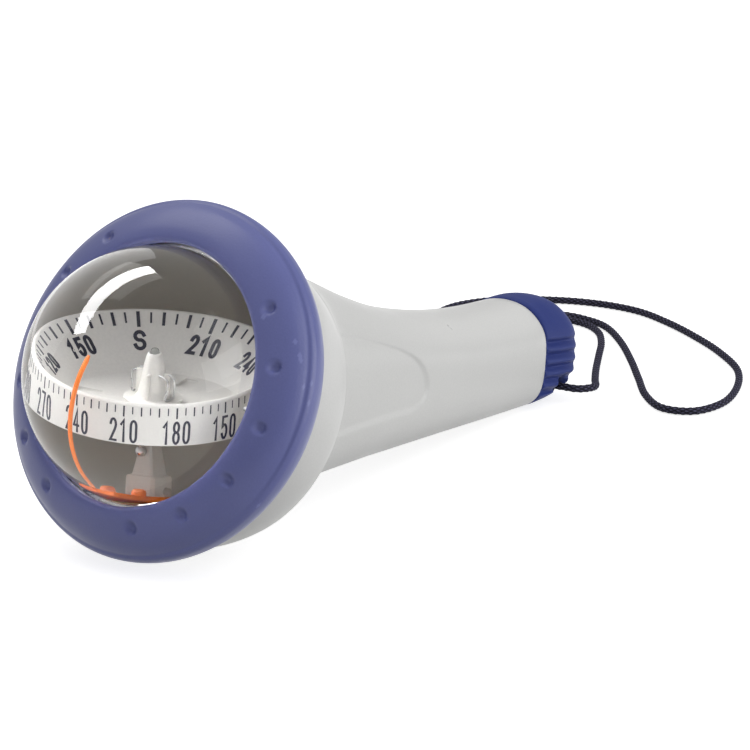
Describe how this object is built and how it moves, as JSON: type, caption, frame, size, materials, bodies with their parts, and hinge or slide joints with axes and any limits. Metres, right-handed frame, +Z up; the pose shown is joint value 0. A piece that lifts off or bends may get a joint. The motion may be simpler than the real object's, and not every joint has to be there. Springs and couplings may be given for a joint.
{
  "type": "handheld bearing compass",
  "caption": "Handheld bearing compass: fluid capsule with a gimballed dished card behind a clear dome, soft dimpled ring, hollow grip, ribbed pull-off end cap and a knotted wrist cord.",
  "frame": {"origin": "on the table, under the middle of the compass without its lanyard", "axes": "+X from the clear dome along the grip to the end cap, +Y to the side, +Z up from the table the compass lies on"},
  "size_m": [0.2654, 0.1143, 0.0791],
  "materials": {
    "blue_elastomer": "soft satin moulding",
    "light_grey_shell": "fine satin moulding",
    "capsule_grey": "matte, dark grey",
    "clear_acrylic": "polished clear",
    "black_rubber": "matte",
    "steel": "fine brushed",
    "brass": "satin",
    "orange_plastic": "satin fluorescent orange",
    "white_card": "matte white with dark navy scale",
    "lamp_board": "lacquered board",
    "red_lamp": "clear red lens",
    "cell_sleeve": "plain sleeve",
    "lanyard": "braided cord"
  },
  "bodies": {
    "housing": {"battery_front": "cell_sleeve", "battery_rear": "cell_sleeve", "battery_tube": "capsule_grey", "bezel_ring": "blue_elastomer", "capsule_seal": "black_rubber", "diaphragm_clamp": "capsule_grey", "dome_window": "clear_acrylic", "expansion_diaphragm": "black_rubber", "filler_plug": "steel", "housing_grip": "light_grey_shell", "lamp_board": "lamp_board", "night_lamp": "red_lamp", "rear_bowl": "capsule_grey", "trunnion_ring": "steel"},
    "gimbal": {"gimbal_yoke": "clear_acrylic", "lubber_rod": "orange_plastic", "pivot_needle": "steel", "keel_weight": "brass"},
    "card": {"card_dial": "white_card", "card_hub": "white_card", "jewel_cup": "clear_acrylic", "hub_clip_left": "steel", "hub_clip_right": "steel", "card_magnet_left": "steel", "card_magnet_right": "steel"},
    "cap": {"end_cap": "blue_elastomer", "cap_seal": "black_rubber", "contact_spring": "steel", "lanyard_cord": "lanyard", "lanyard_knot": "lanyard"}
  },
  "joints": [
    {"name": "gimbal_pitch", "type": "hinge", "parent": "housing", "child": "gimbal", "pos_m": [-0.06611, 0, 0.04265], "axis": [0.0498, 0.9934, 0.1036], "range_deg": [-70, 55]},
    {"name": "card_turn", "type": "hinge", "parent": "gimbal", "child": "card", "pos_m": [-0.06611, 0, 0.04265], "axis": [-0.0052, -0.1034, 0.9946], "continuous": true},
    {"name": "cap_pull", "type": "slide", "parent": "housing", "child": "cap", "axis": [0.9854, 0, -0.1702], "range_m": [0, 0.012]}
  ]
}
